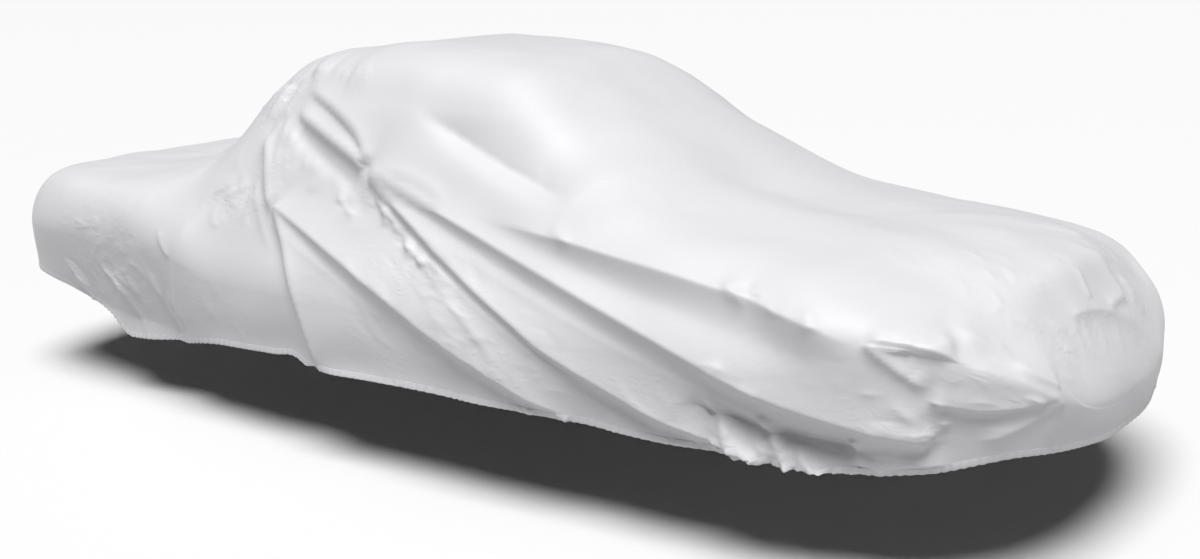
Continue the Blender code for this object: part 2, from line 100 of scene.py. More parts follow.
# One row for each fold.  A view gives the two measures that place its crest line:
# near and far, x and height on that side; top, x and y; nose and tail, y and height; wrap, the
# distance round the edge from the middle of the tail and the height, on the near side.
# a0 b0, am bm, a1 b1   start, middle and end of the crest line
# rise                  how proud the crest stands, below zero for a trough
# crest                 width of the slow slope on the left of the line's way
# drop, dip, recover    width of the steep side, its undercut as a share of rise, and its way back
# fade_in, fade_out     share of the line over which the fold grows and dies away
Fold = namedtuple(
    "Fold", "view a0 b0 am bm a1 b1 rise crest drop dip recover fade_in fade_out")
FOLDS = tuple(Fold(*row) for row in (
    # view    a0     b0    am     bm    a1     b1     rise   crest  drop   dip  recover in   out
    # long diagonal folds of the near side, from the top one down
    ("near", 1.36, 0.866, 2.28, 0.718, 2.87, 0.638, 0.060, 0.170, 0.054, 0.15, 0.180, 0.32, 0.22),
    ("near", 1.01, 0.945, 2.34, 0.558, 3.02, 0.420, 0.038, 0.095, 0.038, 0.30, 0.130, 0.03, 0.06),
    ("near", 1.03, 0.925, 1.91, 0.508, 2.62, 0.312, 0.030, 0.080, 0.024, 0.50, 0.070, 0.02, 0.05),
    ("near", 1.04, 0.890, 1.69, 0.487, 1.97, 0.305, 0.014, 0.035, 0.018, 0.30, 0.040, 0.08, 0.05),
    ("near", 0.640, 0.795, 1.37, 0.540, 2.02, 0.312, 0.035, 0.105, 0.034, 0.35, 0.110, 0.02, 0.15),
    ("near", 1.10, 0.943, 1.29, 0.912, 1.43, 0.845, 0.006, 0.014, 0.010, 0.30, 0.030, 0.20, 0.30),
    ("near", 1.59, 0.452, 1.76, 0.395, 1.84, 0.300, 0.012, 0.040, 0.016, 0.30, 0.045, 0.20, 0.10),
    ("near", 2.42, 0.715, 2.47, 0.690, 2.52, 0.665, 0.008, 0.014, 0.010, 0.20, 0.030, 0.25, 0.20),
    ("near", 1.83, 0.812, 1.88, 0.790, 1.92, 0.765, 0.008, 0.014, 0.010, 0.20, 0.030, 0.25, 0.20),
    ("near", 0.18, 0.255, 1.57, 0.265, 2.95, 0.290, 0.046, 0.210, 0.100, 0.00, 0.100, 0.14, 0.10),
    ("near", 0.86, 0.250, 1.35, 0.258, 2.10, 0.265, 0.046, 0.220, 0.100, 0.00, 0.100, 0.20, 0.30),
    # upright fold behind the long ones
    ("near", 0.64, 0.795, 0.845, 0.548, 0.97, 0.262, 0.034, 0.090, 0.035, 0.50, 0.070, 0.04, 0.20),
    ("near", 0.46, 1.030, 0.55, 0.905, 0.66, 0.740, 0.036, 0.120, 0.050, 0.40, 0.100, 0.20, 0.20),
    ("near", 0.48, 0.880, 0.57, 0.760, 0.68, 0.640, 0.006, 0.016, 0.014, 0.20, 0.030, 0.25, 0.30),
    # folds down from the roof to the head of the long ones
    ("near", 0.55, 1.172, 0.88, 1.080, 1.02, 0.950, 0.028, 0.050, 0.014, 0.25, 0.035, 0.20, 0.04),
    ("near", 0.55, 1.105, 0.83, 1.018, 1.01, 0.946, 0.034, 0.035, 0.022, 0.35, 0.070, 0.20, 0.04),
    ("near", 0.56, 1.059, 0.76, 0.972, 1.03, 0.858, -0.012, 0.060, 0.022, 0.20, 0.060, 0.30, 0.10),
    ("near", 1.01, 0.950, 1.03, 0.905, 1.05, 0.850, 0.008, 0.031, 0.014, 0.20, 0.040, 0.15, 0.30),
    ("near", 1.10, 1.155, 1.52, 0.998, 1.86, 0.885, -0.042, 0.150, 0.036, 0.20, 0.100, 0.35, 0.25),
    # front corner of the near side: the pocket, its facets and the crumpled cloth below
    ("wrap", 4.51, 0.650, 4.63, 0.656, 4.79, 0.613, 0.010, 0.050, 0.014, 0.90, 0.080, 0.20, 0.45),
    ("wrap", 4.54, 0.632, 4.70, 0.622, 4.86, 0.588, -0.014, 0.030, 0.160, 0.00, 0.060, 0.20, 0.40),
    ("wrap", 4.73, 0.692, 4.87, 0.604, 5.03, 0.512, 0.017, 0.050, 0.018, 0.40, 0.140, 0.25, 0.03),
    ("wrap", 4.52, 0.649, 4.59, 0.595, 4.68, 0.540, 0.012, 0.026, 0.014, 0.50, 0.050, 0.04, 0.25),
    ("wrap", 4.67, 0.525, 4.83, 0.490, 5.03, 0.503, 0.014, 0.060, 0.016, 0.90, 0.070, 0.06, 0.05),
    ("wrap", 4.78, 0.400, 4.92, 0.440, 5.04, 0.488, 0.018, 0.040, 0.045, 0.35, 0.080, 0.25, 0.05),
    ("wrap", 4.65, 0.385, 4.70, 0.450, 4.69, 0.524, 0.010, 0.030, 0.016, 0.40, 0.045, 0.15, 0.10),
    ("wrap", 4.50, 0.735, 4.56, 0.715, 4.60, 0.680, -0.005, 0.030, 0.015, 0.20, 0.040, 0.25, 0.25),
    ("near", 2.33, 0.440, 2.60, 0.385, 2.90, 0.362, -0.046, 0.030, 0.060, 0.00, 0.060, 0.20, 0.20),
    ("wrap", 4.52, 0.298, 4.64, 0.343, 4.77, 0.346, 0.012, 0.040, 0.020, 0.40, 0.045, 0.20, 0.30),
    ("wrap", 5.07, 0.560, 5.01, 0.480, 5.04, 0.320, 0.012, 0.110, 0.080, 0.00, 0.080, 0.40, 0.30),
    ("near", 2.60, 0.285, 2.48, 0.385, 2.41, 0.458, 0.024, 0.028, 0.016, 0.50, 0.045, 0.10, 0.25),
    ("near", 2.67, 0.285, 2.62, 0.369, 2.58, 0.435, 0.030, 0.022, 0.014, 0.50, 0.035, 0.10, 0.20),
    ("near", 2.53, 0.290, 2.49, 0.355, 2.46, 0.400, 0.018, 0.018, 0.012, 0.50, 0.030, 0.15, 0.20),
    ("near", 2.76, 0.285, 2.71, 0.312, 2.67, 0.355, 0.020, 0.018, 0.014, 0.50, 0.030, 0.10, 0.25),
    ("near", 2.82, 0.400, 2.83, 0.370, 2.84, 0.320, 0.016, 0.018, 0.014, 0.30, 0.030, 0.20, 0.10),
    # tail
    ("near", 0.24, 0.770, 0.20, 0.550, 0.14, 0.330, 0.020, 0.120, 0.080, 0.10, 0.160, 0.30, 0.10),
    ("near", -0.95, 0.390, -0.30, 0.310, 0.19, 0.280, -0.055, 0.300, 0.170, 0.00, 0.100, 0.25, 0.16),
    ("near", -0.37, 0.545, -0.29, 0.440, -0.22, 0.320, 0.010, 0.020, 0.012, 0.50, 0.030, 0.40, 0.30),
    ("near", -0.27, 0.450, -0.19, 0.340, -0.12, 0.210, 0.012, 0.020, 0.012, 0.50, 0.030, 0.40, 0.40),
    ("near", -0.04, 0.560, 0.03, 0.400, 0.12, 0.220, 0.012, 0.020, 0.012, 0.50, 0.030, 0.40, 0.40),
    ("near", 0.07, 0.690, 0.11, 0.630, 0.18, 0.585, 0.008, 0.024, 0.014, 0.40, 0.040, 0.30, 0.20),
    ("near", -0.62, 0.500, -0.52, 0.410, -0.44, 0.250, 0.010, 0.020, 0.012, 0.50, 0.030, 0.40, 0.40),
    # far side
    ("far", 0.92, 0.980, 1.62, 0.660, 2.50, 0.300, 0.032, 0.100, 0.045, 0.30, 0.130, 0.15, 0.15),
    ("far", 0.50, 0.960, 0.98, 0.640, 1.62, 0.290, 0.028, 0.090, 0.045, 0.30, 0.120, 0.15, 0.15),
    ("far", 1.45, 0.840, 2.15, 0.720, 2.90, 0.560, 0.026, 0.110, 0.045, 0.30, 0.120, 0.25, 0.20),
    ("far", 0.30, 0.930, 0.36, 0.620, 0.30, 0.270, 0.020, 0.070, 0.035, 0.40, 0.080, 0.20, 0.10),
    ("far", 2.35, 0.590, 2.75, 0.460, 3.14, 0.390, 0.020, 0.070, 0.040, 0.30, 0.090, 0.25, 0.20),
    ("far", -0.88, 0.640, -0.55, 0.520, -0.26, 0.290, 0.016, 0.070, 0.040, 0.40, 0.090, 0.30, 0.12),
    # top, tail and nose
    ("top", 2.45, 0.300, 2.80, 0.070, 3.08, -0.130, 0.007, 0.120, 0.100, 0.00, 0.120, 0.35, 0.40),
    ("top", 2.05, -0.360, 2.50, -0.400, 3.00, -0.300, 0.008, 0.140, 0.100, 0.00, 0.120, 0.35, 0.40),
    ("top", 0.34, -0.420, 0.20, 0.020, 0.36, 0.430, -0.012, 0.090, 0.080, 0.00, 0.080, 0.25, 0.25),
    ("tail", -0.50, 0.690, -0.05, 0.570, 0.46, 0.680, 0.012, 0.090, 0.040, 0.50, 0.120, 0.30, 0.30),
    ("nose", -0.24, 0.632, -0.04, 0.615, 0.20, 0.500, 0.014, 0.100, 0.030, 0.30, 0.080, 0.15, 0.30),
    ("nose", 0.15, 0.622, 0.135, 0.685, 0.185, 0.745, 0.016, 0.070, 0.022, 0.60, 0.060, 0.10, 0.25),
    ("nose", -0.02, 0.618, 0.06, 0.622, 0.155, 0.612, 0.010, 0.018, 0.012, 0.60, 0.035, 0.20, 0.20),
    ("nose", 0.22, 0.650, 0.255, 0.600, 0.26, 0.530, 0.012, 0.030, 0.012, 0.40, 0.030, 0.20, 0.20),
    ("nose", -0.095, 0.650, -0.078, 0.690, -0.058, 0.735, 0.006, 0.012, 0.010, 0.20, 0.020, 0.20, 0.20),
))
STEPS_ALONG_FOLD = 32
CREST_ROUND = 0.003             # the cloth turns over a crest within about this distance
RIDGE_POWER = 3.0               # n of the joint height of ridges that meet
END_SPREAD = 0.5                # growth of the stretch over which a fold fades, away from its line
FINE_CREST, WIDE_CREST = 0.030, 0.200   # ridges with a crest between these share a joint height
FOLD_REACH = 4.0                # a fold is left out past this many of its widths from its line

# One row for each patch of small loose creases.  a and b are measures of the view, as above.
# a b, wide tall  middle and half size of the patch
# way, turn       direction of the creases in degrees, anticlockwise, and how much it varies
# long, width     their usual length and width
# depth           how proud they stand
# count, seed     how many there are, and which random draw places them
Patch = namedtuple("Patch", "view a b wide tall way turn long width depth count seed")
PATCHES = tuple(Patch(*row) for row in (
    # view   a     b      wide  tall  way turn long width  depth   count seed
    ("near", 0.44, 1.120, 0.10, 0.10, 35, 30, 0.08, 0.009, 0.0080, 36, 11),   # back edge of roof
    ("near", 0.60, 1.235, 0.14, 0.04, -30, 30, 0.09, 0.010, 0.0060, 24, 36),
    ("near", 0.80, 1.230, 0.10, 0.04, -25, 25, 0.08, 0.010, 0.0060, 16, 12),
    ("near", 0.42, 0.810, 0.14, 0.08, 65, 25, 0.09, 0.009, 0.0060, 22, 37),
    ("near", 0.55, 0.900, 0.12, 0.18, -62, 15, 0.12, 0.010, 0.0040, 20, 13),
    ("near", 1.05, 0.900, 0.10, 0.08, -35, 20, 0.10, 0.010, 0.0040, 14, 14),   # head of the folds
    ("near", 1.35, 0.620, 0.30, 0.14, -32, 10, 0.16, 0.010, 0.0035, 20, 15),
    ("near", 1.60, 0.420, 0.45, 0.10, -40, 14, 0.12, 0.009, 0.0035, 26, 16),
    ("near", 2.30, 0.420, 0.35, 0.12, -25, 14, 0.13, 0.009, 0.0030, 22, 17),
    ("near", 2.55, 0.340, 0.32, 0.03, 115, 18, 0.06, 0.008, 0.0060, 40, 50),
    ("wrap", 4.62, 0.450, 0.16, 0.09, -35, 50, 0.10, 0.008, 0.0035, 34, 18),   # front corner
    ("wrap", 4.76, 0.580, 0.12, 0.05, -30, 20, 0.08, 0.008, 0.0020, 12, 19),
    ("near", -0.25, 0.620, 0.25, 0.14, 60, 30, 0.10, 0.011, 0.0035, 22, 20),
    ("near", -0.25, 0.430, 0.32, 0.10, 128, 14, 0.13, 0.010, 0.0060, 26, 21),   # over the tail hem
    ("near", 0.15, 0.420, 0.35, 0.12, 75, 30, 0.10, 0.011, 0.0025, 16, 22),
    ("near", 2.10, 0.960, 0.35, 0.10, -20, 30, 0.12, 0.012, 0.0025, 16, 23),
    ("top", 0.55, -0.250, 0.20, 0.25, 40, 40, 0.10, 0.012, 0.0025, 18, 24),
    ("top", 1.20, -0.100, 0.35, 0.35, 10, 50, 0.12, 0.012, 0.0020, 22, 25),
    ("top", 2.95, -0.300, 0.20, 0.22, -50, 35, 0.08, 0.010, 0.0040, 24, 26),   # over the nose
    ("top", 3.03, 0.320, 0.12, 0.14, 40, 40, 0.07, 0.009, 0.0070, 24, 27),
    ("top", 2.75, 0.500, 0.25, 0.08, -15, 25, 0.08, 0.010, 0.0050, 20, 38),
    ("nose", -0.25, 0.580, 0.25, 0.07, -60, 30, 0.08, 0.010, 0.0035, 18, 28),
    ("nose", 0.30, 0.560, 0.22, 0.09, 50, 30, 0.08, 0.010, 0.0040, 20, 29),
    ("tail", 0.00, 0.560, 0.45, 0.14, 80, 40, 0.10, 0.012, 0.0030, 26, 30),
    ("top", -0.60, 0.000, 0.30, 0.50, 20, 50, 0.12, 0.012, 0.0020, 22, 31),
    ("far", 0.50, 0.900, 0.25, 0.20, -55, 25, 0.12, 0.012, 0.0040, 26, 32),
    ("far", 1.50, 0.500, 0.60, 0.16, -32, 14, 0.16, 0.012, 0.0035, 36, 33),
    ("far", 2.80, 0.480, 0.35, 0.14, -25, 35, 0.10, 0.012, 0.0040, 34, 34),
    ("far", -0.50, 0.500, 0.35, 0.16, -60, 30, 0.11, 0.012, 0.0040, 30, 35),
))

# One row for each chain of small crumples: short creases strewn within `reach` of a line, each along
# it but for a drawn turn of up to about `turn` degrees.  The last columns are as in the patches.
Chain = namedtuple("Chain", "view a0 b0 am bm a1 b1 reach turn long width depth count seed")
CHAINS = tuple(Chain(*row) for row in (
    # view    a0     b0    am     bm    a1     b1     reach  turn  long  width  depth   count seed
    ("near", 1.06, 0.880, 1.22, 0.765, 1.38, 0.685, 0.018, 25, 0.06, 0.008, 0.0070, 22, 41),
    ("near", 1.38, 0.685, 1.52, 0.600, 1.68, 0.505, 0.012, 18, 0.08, 0.008, 0.0040, 12, 49),
    ("near", 0.70, 0.950, 0.85, 0.885, 1.02, 0.790, 0.015, 35, 0.06, 0.008, 0.0050, 16, 42),
    ("near", 0.55, 1.080, 0.68, 0.960, 0.82, 0.900, 0.015, 30, 0.06, 0.009, 0.0050, 14, 43),
    ("near", 2.43, 0.715, 2.58, 0.680, 2.74, 0.655, 0.018, 30, 0.05, 0.008, 0.0045, 18, 44),
    ("wrap", 4.69, 0.530, 4.71, 0.460, 4.65, 0.380, 0.030, 50, 0.08, 0.009, 0.0055, 18, 45),
    ("wrap", 4.72, 0.515, 4.86, 0.500, 4.97, 0.502, 0.014, 30, 0.06, 0.009, 0.0045, 12, 46),
    ("wrap", 4.56, 0.655, 4.66, 0.655, 4.76, 0.630, 0.016, 30, 0.06, 0.009, 0.0045, 12, 47),
    ("near", 2.44, 0.555, 2.56, 0.475, 2.70, 0.435, 0.020, 30, 0.07, 0.009, 0.0045, 14, 48),
))

CREASE_LENGTHS, CREASE_WIDTHS, CREASE_DEPTHS = (0.5, 1.5), (0.8, 1.5), (0.5, 1.2)   # times the usual
CREASE_BOW = 0.12               # usual bow of a crease, as a share of its length
CREASE_SIGNS = (-0.7, 1.0, 1.0)     # a crease goes inwards or outwards, drawn from these
STREWN = 0.5                    # usual distance of a crease from the middle, in half sizes of its place
PATCH_REACH = 3.0               # a patch is left out past this many of its half sizes
CRUSH_SPREAD = 1.2              # how far a patch's fine crushing reaches, in half sizes of the patch

# Lifts and drops of the hem: place along x, half width, lift.  Stretches where it is gathered
# harder: distance round the edge, half width, how much harder.
HEM_LIFTS = ((0.775, 0.050, 0.010), (0.855, 0.030, -0.012))
HEM_PULLS = ((4.25, 0.35, 1.2), (1.60, 0.40, 0.8), (6.00, 0.30, 1.2))
HEM_SEARCH = 0.70               # share of a profile below which the hem band's rows are looked for
HEM_SEARCH_ROWS = 31
HEM_RIM = 0.30                  # thickness of the hem band at its stitch line, as a share of its most
HEM_SWAY = 0.75                 # half turns of the band's swing, from the stitch line to its lower edge
GATHER_DRIFT = ((3.0, 9.0, 0.0), (2.0, 23.0, 1.0), (1.3, 57.0, 2.0))    # size, waves round, start
GATHER_UNEVEN = 0.35            # share of the gathers' strength that comes and goes along the hem
FINE_GATHERS = 1.62             # finer ripples to each main gather

# The soft dents of the whole cloth: random draw, longest and shortest wave, how many waves.
DENTS = (5, 0.60, 0.16, 36)

# Where each view of the folds begins and is in full: the measure it goes by, and its two ends.
SIDE_BEGINS, SIDE_FULL = 0.05, 0.30         # distance from the centre line
NOSE_BEGINS, NOSE_FULL = 2.95, 3.12         # x
WRAP_FULL = 0.10                            # distance from the centre line
FLAT_BEGINS, FLAT_FULL = 0.82, 0.97         # upward share of the outward direction
FRONT_BEGINS, FRONT_FULL = 0.55, 0.90       # share of the level outward direction that is along x
TAIL_BEGINS, TAIL_FULL = -0.75, -0.92       # x
TOP_BEGINS, TOP_FULL = 0.35, 0.70           # upward share of the outward direction


def smooth_step(low, high, value):
    """0 below low, 1 above high and a smooth S between them; high may be the smaller."""
    t = np.clip((value - low) / (high - low), 0.0, 1.0)
    return t * t * (3.0 - 2.0 * t)


def mean_slopes(stops, values):
    """Slope at each stop: the mean of its two spans' slopes, the shorter span counting more."""
    span = np.diff(stops)[:, None]
    slope = np.diff(values, axis=0) / span
    inner = (slope[:-1] * span[1:] + slope[1:] * span[:-1]) / (span[1:] + span[:-1])
    return np.concatenate([slope[:1], inner, slope[-1:]])


def steady_slopes(stops, values):
    """Slope at each stop of a curve that never swings past the values it joins."""
    span = np.diff(stops)[:, None]
    slope = np.diff(values, axis=0) / span
    before, after = slope[:-1], slope[1:]
    same_way = before * after > 0.0
    weight_before = span[:-1] + 2.0 * span[1:]
    weight_after = 2.0 * span[:-1] + span[1:]
    lower = weight_before * after + weight_after * before
    lower = np.where(same_way, lower, 1.0)
    inner = np.where(same_way, (weight_before + weight_after) * before * after / lower, 0.0)
    return np.concatenate([slope[:1], inner, slope[-1:]])


def read_cubic(stops, values, slopes, at):
    """Values of the cubic that has the given values and slopes at its stops."""
    k = np.clip(np.searchsorted(stops, at, side="right") - 1, 0, len(stops) - 2)
    span = (stops[k + 1] - stops[k]).reshape((-1,) + (1,) * (values.ndim - 1))
    t = (at - stops[k]).reshape(span.shape) / span
    ease = t * t * (3.0 - 2.0 * t)
    return (values[k] * (1.0 - ease) + values[k + 1] * ease
            + span * t * (1.0 - t) * ((1.0 - t) * slopes[k] - t * slopes[k + 1]))


def section_stops():
    """Distance of each section round the widest line, from the middle of the tail."""
    steps = [np.hypot(b.edge_x - a.edge_x, b.out - a.out) for a, b in zip(SECTIONS, SECTIONS[1:])]
    return np.concatenate([[0.0], np.cumsum(steps)])


def sections_at(distance):
    """A Section of arrays: each column of SECTIONS read smoothly at distances round the edge."""
    stops = section_stops()
    rows = np.array(SECTIONS, dtype=float)
    twins = rows * np.array(MIRRORED, dtype=float)
    rows = np.concatenate([twins[2:0:-1], rows, twins[-2:-4:-1]])
    ends = 2.0 * stops[-1] - stops[-2:-4:-1]
    stops = np.concatenate([-stops[2:0:-1], stops, ends])
    slopes = steady_slopes(stops, rows)
    plan = [Section._fields.index("edge_x"), Section._fields.index("out")]
    slopes[:, plan] = mean_slopes(stops, rows[:, plan])
    return Section(*read_cubic(stops, rows, slopes, distance).T)


def hem_lift(x, down):
    """Local lifts and drops of the hem: each lift x exp(-((x - place)/wide)^2), growing towards it."""
    total = sum(lift * np.exp(-((x - place) / wide) ** 2) for place, wide, lift in HEM_LIFTS)
    return total * smooth_step(PROFILE_STOPS[SIDE], 1.0, down)


def smooth_form(distance, down):
    """Points of the cover without its folds, one profile for each distance round the edge.

    A profile runs straight out from the spine in plan, a share q of the way to the edge, while its
    height follows roof, belt, side and hem.  Both are cubics of `down`, 0 at the spine, 1 at the hem.
    """
    at = sections_at(distance)
    stops = np.array(PROFILE_STOPS)
    spine, edge = np.zeros_like(at.out), np.ones_like(at.out)
    share = np.stack([spine, at.roof_q, at.belt_q, edge, at.hem_q])
    height = np.stack([at.top_z, at.roof_z, at.belt_z, at.side_z, at.hem_z])
    share_slope = mean_slopes(stops, share)
    height_slope = mean_slopes(stops, height)
    share_slope[SIDE] = 0.0
    share_slope[-1] *= HEM_FLARE
    reach = at.edge_x - at.spine_x
    height_slope[0] = NOSE_SLOPE * np.clip(reach, 0.0, None) * share_slope[0]
    q = read_cubic(stops, share, share_slope, down).T
    z = read_cubic(stops, height, height_slope, down).T
    x = at.spine_x[:, None] + reach[:, None] * q
    y = -at.out[:, None] * q
    return np.stack([x, y, z], axis=-1)


def form_outward(distance, down, step=0.002):
    """Unit directions out of the smooth form: the way down crossed with the way round."""
    inside = np.clip(down, 2.0 * step, 1.0 - step)
    way_down = smooth_form(distance, inside + step) - smooth_form(distance, inside - step)
    way_round = smooth_form(distance + step, inside) - smooth_form(distance - step, inside)
    normal = np.cross(way_down, way_round)
    normal[:, down <= 0.0] = (0.0, 0.0, 1.0)
    return normal / np.linalg.norm(normal, axis=-1, keepdims=True)


def near_line(a, b, line_a, line_b):
    """For places (a, b): distance from a line of points, share of the way along it, and which side.

    Before the line's start the share goes below 0, and past its end above 1.
    """
    step_a, step_b = np.diff(line_a), np.diff(line_b)
    off_a = a[:, None] - line_a[:-1]
    off_b = b[:, None] - line_b[:-1]
    run = (off_a * step_a + off_b * step_b) / (step_a ** 2 + step_b ** 2)
    along = np.clip(run, 0.0, 1.0)
    gap = np.hypot(off_a - along * step_a, off_b - along * step_b)
    nearest = gap.argmin(axis=1)
    pick = np.arange(len(nearest)), nearest
    left = step_a[nearest] * off_b[pick] - step_b[nearest] * off_a[pick] > 0.0
    last = len(step_a) - 1
    beyond = (np.where(nearest == 0, np.minimum(run[pick], 0.0), 0.0)
              + np.where(nearest == last, np.maximum(run[pick] - 1.0, 0.0), 0.0))
    return gap[pick], (nearest + along[pick] + beyond) / len(step_a), left


def line_points(row):
    """Points along the curve that leaves a0 b0, passes am bm half-way and ends at a1 b1."""
    t = np.linspace(0.0, 1.0, STEPS_ALONG_FOLD + 1)
    bend_a = 2.0 * row.am - (row.a0 + row.a1) / 2.0
    bend_b = 2.0 * row.bm - (row.b0 + row.b1) / 2.0
    line_a = (1 - t) ** 2 * row.a0 + 2 * t * (1 - t) * bend_a + t * t * row.a1
    line_b = (1 - t) ** 2 * row.b0 + 2 * t * (1 - t) * bend_b + t * t * row.b1
    return line_a, line_b


def crease_bells(draw, row, a, b, places, ways):
    """Short creases at drawn places and ways, in radians.

    With d the distance from a crease's bowed line and s the share along it, each stands depth x
    exp(-|d|/width) x 4 s (1 - s) proud; about a third of them go the other way.
    """
    height = np.zeros(a.shape)
    for (mid_a, mid_b), way in zip(places, ways):
        length = row.long * draw.uniform(*CREASE_LENGTHS)
        width = row.width * draw.uniform(*CREASE_WIDTHS)
        bow = draw.normal(0.0, CREASE_BOW) * length
        depth = row.depth * draw.uniform(*CREASE_DEPTHS) * draw.choice(CREASE_SIGNS)
        along = (a - mid_a) * np.cos(way) + (b - mid_b) * np.sin(way)
        across = (b - mid_b) * np.cos(way) - (a - mid_a) * np.sin(way)
        share = np.clip(along / length + 0.5, 0.0, 1.0)
        bell = 4.0 * share * (1.0 - share)
        height += depth * bell * np.exp(-np.abs(across - bow * bell) / width)
    return height


def chain_height(chain, a, b):
    """Short creases strewn along a line."""
    draw = np.random.default_rng(chain.seed)
    line_a, line_b = line_points(chain)
    at = draw.uniform(0.0, 1.0, chain.count) * STEPS_ALONG_FOLD
    off = draw.normal(0.0, STREWN, chain.count) * chain.reach
    steps = np.arange(STEPS_ALONG_FOLD + 1)
    places = np.stack([np.interp(at, steps, line_a), np.interp(at, steps, line_b) + off], axis=-1)
    ways = np.interp(at, steps, np.arctan2(np.gradient(line_b), np.gradient(line_a)))
    ways = ways + np.radians(chain.turn) * draw.normal(0.0, 1.0, chain.count)
    return crease_bells(draw, chain, a, b, places, ways)


def fold_height(fold, a, b):
    """Height of one fold at places (a, b) of its view.

    With d the distance from the crest line, softened within CREST_ROUND of it, the height is
    rise x exp(-d/crest) on the left, and rise x ((1 + dip) exp(-d/drop) - dip exp(-(d/recover)^2))
    on the right, so the cloth turns sharply at the crest and eases out on both sides.  It fades at the
    line's ends, over a stretch that grows with d.
    """
    line_a, line_b = line_points(fold)
    distance, share, left = near_line(a, b, line_a, line_b)
    fan = END_SPREAD * distance / np.hypot(np.diff(line_a), np.diff(line_b)).sum()
    run = np.hypot(distance, CREST_ROUND) - CREST_ROUND
    slow, drop = np.exp(-run / fold.crest), np.exp(-run / fold.drop)
    steep = (1.0 + fold.dip) * drop - fold.dip * np.exp(-(distance / fold.recover) ** 2)
    fade = (smooth_step(-fan, fold.fade_in + fan, share)
            * smooth_step(-fan, fold.fade_out + fan, 1.0 - share))
    return fold.rise * fade * np.where(left, slow, steep)


def window(row, a, b):
    """Which places lie near enough to a fold, chain or patch to feel it."""
    if isinstance(row, Patch):
        return ((np.abs(a - row.a) < PATCH_REACH * row.wide + row.long)
                & (np.abs(b - row.b) < PATCH_REACH * row.tall + row.long))
    reach = FOLD_REACH * (max(row.crest, row.recover) if isinstance(row, Fold) else row.long)
    ends_a, ends_b = (row.a0, row.am, row.a1), (row.b0, row.bm, row.b1)
    return ((a > min(ends_a) - reach) & (a < max(ends_a) + reach)
            & (b > min(ends_b) - reach) & (b < max(ends_b) + reach))


def patch_height(patch, a, b):
    """Short creases strewn over a patch."""
    draw = np.random.default_rng(patch.seed)
    places = np.stack([patch.a + patch.wide * draw.normal(0.0, STREWN, patch.count),
                       patch.b + patch.tall * draw.normal(0.0, STREWN, patch.count)], axis=-1)
    ways = np.radians(patch.way + patch.turn * draw.normal(0.0, 1.0, patch.count))
    return crease_bells(draw, patch, a, b, places, ways)


def crushed_share(points, normal, distance):
    """How crushed the cloth is, 0 to 1: a bell over each patch, as strong as its creases are deep."""
    share = np.zeros(points.shape[:-1])
    views = views_of(points, normal, distance)
    deepest = max(patch.depth for patch in PATCHES)
    for patch in PATCHES:
        a, b, shown = views[patch.view]
        off = ((a - patch.a) / (CRUSH_SPREAD * patch.wide)) ** 2
        off = off + ((b - patch.b) / (CRUSH_SPREAD * patch.tall)) ** 2
        share = np.maximum(share, shown * patch.depth / deepest * np.exp(-off))
    return share


def dents(points, seed, longest, shortest, count):
    """Soft uneven dents between -1 and 1: a sum of plane waves in drawn directions and lengths."""
    draw = np.random.default_rng(seed)
    total = np.zeros(points.shape[:-1])
    for _ in range(count):
        way = draw.normal(0.0, 1.0, 3)
        way /= np.linalg.norm(way)
        wave = np.exp(draw.uniform(np.log(shortest), np.log(longest)))
        total += np.sin(points @ way * (2.0 * np.pi / wave) + draw.uniform(0.0, 2.0 * np.pi))
    return total / np.sqrt(count)


def views_of(points, normal, distance):
    """For each view: its two measures at every point and how fully its folds are shown there."""
    x, y, z = np.moveaxis(points, -1, 0)
    level = np.abs(normal[..., 0]) / np.maximum(np.hypot(normal[..., 0], normal[..., 1]), 1e-9)
    front = smooth_step(FRONT_BEGINS, FRONT_FULL, level) * smooth_step(NOSE_BEGINS, NOSE_FULL, x)
    side = 1.0 - front
    steep = smooth_step(FLAT_FULL, FLAT_BEGINS, normal[..., 2])
    return {
        "near": (x, z, side * smooth_step(SIDE_BEGINS, SIDE_FULL, -y)),
        "far": (x, z, side * smooth_step(SIDE_BEGINS, SIDE_FULL, y)),
        "wrap": (np.broadcast_to(distance[:, None], x.shape), z, steep * smooth_step(0.0, WRAP_FULL, -y)),
        "top": (x, y, smooth_step(TOP_BEGINS, TOP_FULL, normal[..., 2])),
        "nose": (y, z, smooth_step(NOSE_BEGINS, NOSE_FULL, x)),
        "tail": (y, z, smooth_step(TAIL_BEGINS, TAIL_FULL, x)),
    }


def relief(points, normal, distance, cloth):
    """How far the cloth stands off the smooth form at each point: folds, small creases and dents.

    Where ridges of middling width meet they don't pile up: their joint height is
    (h1^n + h2^n + ...)^(1/n).  Troughs, fine ridges and very wide ones are added to that.
    """
    ridges = np.zeros(points.shape[:-1])
    height = np.zeros(points.shape[:-1])
    views = views_of(points, normal, distance)
    kinds = ((FOLDS, cloth.fold_depth, fold_height), (CHAINS, cloth.crease_depth, chain_height),
             (PATCHES, cloth.crease_depth, patch_height))
    for rows, depth, shape in kinds:
        for row in rows:
            a, b, shown = views[row.view]
            where = (shown > 0.0) & window(row, a, b)
            if not where.any():
                continue
            own = depth * shown[where] * shape(row, a[where], b[where])
            if isinstance(row, Fold) and FINE_CREST < row.crest < WIDE_CREST:
                ridges[where] += np.clip(own, 0.0, None) ** RIDGE_POWER
                own = np.clip(own, None, 0.0)
            height[where] += own
    return height + ridges ** (1.0 / RIDGE_POWER) + cloth.dent_depth * dents(points, *DENTS)


